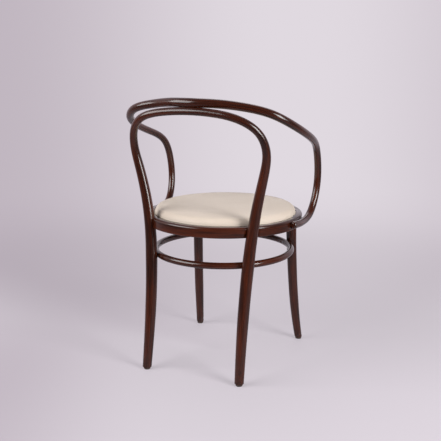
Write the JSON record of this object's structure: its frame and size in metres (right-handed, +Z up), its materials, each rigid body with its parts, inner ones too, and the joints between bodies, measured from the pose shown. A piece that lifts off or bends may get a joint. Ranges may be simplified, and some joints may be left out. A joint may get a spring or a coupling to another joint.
{
  "type": "armchair",
  "caption": "bentwood armchair with a looped back, a one-piece bow for top rail and arms, and a round leather-covered seat pad",
  "frame": {"origin": "on the floor, under the middle of the chair's bounding box", "axes": "+Z up; the sitter faces -Y; +X is the sitter's left; the middle plane is YZ"},
  "size_m": [0.5414, 0.4614, 0.7754],
  "materials": {
    "walnut_stain": "beech bent by steam, stained dark walnut brown, satin lacquer",
    "cream_leather": "smooth cream leather, very fine grain, matt to satin",
    "foam": "open-cell polyurethane foam, hidden in the cover",
    "plywood": "birch plywood, raw, sanded",
    "black_cloth": "black non-woven bottom cloth, matt",
    "brown_plastic": "dark brown polyamide, moulded, matt",
    "zinc_steel": "zinc-plated steel, satin"
  },
  "bodies": {
    "root": {"seat_ring": "walnut_stain", "back_hoop": "walnut_stain", "arm_bow": "walnut_stain", "front_leg_left": "walnut_stain", "front_leg_right": "walnut_stain", "leg_ring": "walnut_stain", "seat_cover": "cream_leather", "seat_foam": "foam", "seat_panel": "plywood", "bottom_cloth": "black_cloth", "glide_front_left": "brown_plastic", "glide_front_right": "brown_plastic", "glide_rear_left": "brown_plastic", "glide_rear_right": "brown_plastic", "glide_nails": "zinc_steel", "leg_ring_screws": "zinc_steel", "arm_end_screws": "zinc_steel", "arm_top_screws": "zinc_steel", "panel_screws": "zinc_steel", "hoop_screws": "zinc_steel", "hoop_screw_washers": "zinc_steel", "cover_staples": "zinc_steel"}
  },
  "joints": []
}
